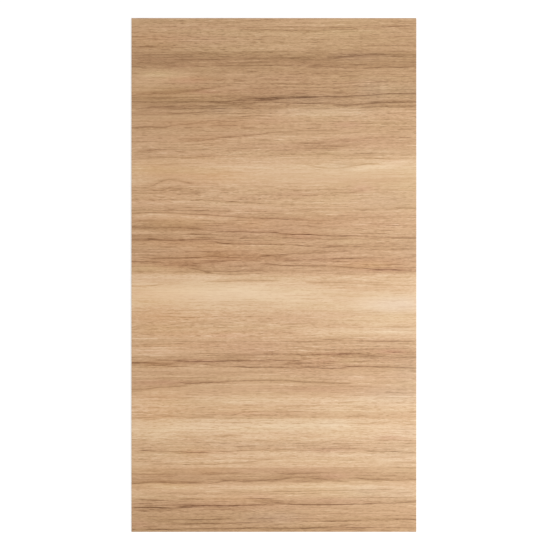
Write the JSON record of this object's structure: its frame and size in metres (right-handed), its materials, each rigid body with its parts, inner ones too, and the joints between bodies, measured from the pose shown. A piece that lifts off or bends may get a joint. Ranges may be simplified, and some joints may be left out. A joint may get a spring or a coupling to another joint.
{
  "type": "spc wall panel",
  "caption": "Thin flat rectangular sheet of rigid stone-plastic composite with a printed wood-grain face, for cladding an inside wall.",
  "frame": {"origin": "middle of the back face, which the sheet lies on", "axes": "+X across the panel, along the printed grain; +Y up the wall once the panel hangs, along the panel's long side; +Z out of the decor face"},
  "size_m": [1.22, 2.2, 0.004],
  "materials": {
    "panel_sheet": "satin"
  },
  "bodies": {
    "root": {"wall_panel": "panel_sheet"}
  },
  "joints": []
}
